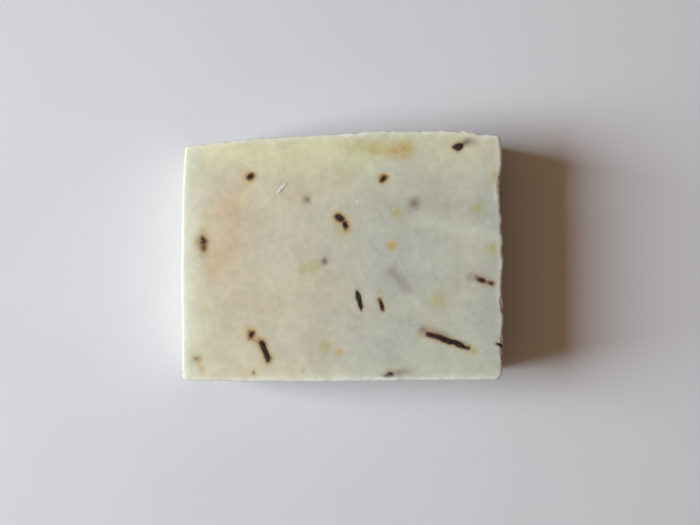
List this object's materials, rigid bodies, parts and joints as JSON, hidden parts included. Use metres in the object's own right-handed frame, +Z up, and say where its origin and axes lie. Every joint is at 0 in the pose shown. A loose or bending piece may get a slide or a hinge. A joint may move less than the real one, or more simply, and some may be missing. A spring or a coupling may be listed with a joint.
{
  "type": "bar of soap",
  "caption": "Rectangular loaf-cut bar of handmade soap, pale cream, with dark pieces of dried herb set in its faces; lies flat for washing.",
  "frame": {"origin": "middle of the underside, on the surface that the bar rests on", "axes": "+X along the bar, +Y towards the side that was the open top of the loaf, +Z up through the thickness"},
  "size_m": [0.0831, 0.065, 0.026],
  "materials": {
    "soap": "waxy satin, pale cream with a faint green cast",
    "dried_herb": "dark brown, matt, finely ridged"
  },
  "bodies": {
    "root": {"soap_bar": "soap", "herb_base_bud": "dried_herb", "herb_base_needle": "dried_herb", "herb_bud_centre": "dried_herb", "herb_bud_corner": "dried_herb", "herb_bud_upper_left": "dried_herb", "herb_bud_upper_middle": "dried_herb", "herb_handled_bud": "dried_herb", "herb_leaf_left": "dried_herb", "herb_liner_needle": "dried_herb", "herb_needle_base_edge": "dried_herb", "herb_needle_bent": "dried_herb", "herb_needle_long": "dried_herb", "herb_needle_right": "dried_herb", "herb_needle_short": "dried_herb", "herb_needle_through_side": "dried_herb", "herb_needle_upright": "dried_herb", "herb_poured_bud": "dried_herb", "herb_poured_needle": "dried_herb", "herb_poured_seed": "dried_herb", "herb_speck_base": "dried_herb", "herb_speck_left_corner": "dried_herb", "herb_speck_right": "dried_herb", "herb_tip_centre": "dried_herb", "herb_tip_lower_left": "dried_herb", "herb_under_bud_1": "dried_herb", "herb_under_bud_2": "dried_herb", "herb_under_bud_3": "dried_herb", "herb_under_needle_1": "dried_herb", "herb_under_needle_2": "dried_herb", "herb_under_needle_3": "dried_herb", "herb_under_needle_4": "dried_herb", "herb_under_speck_1": "dried_herb"}
  },
  "joints": []
}
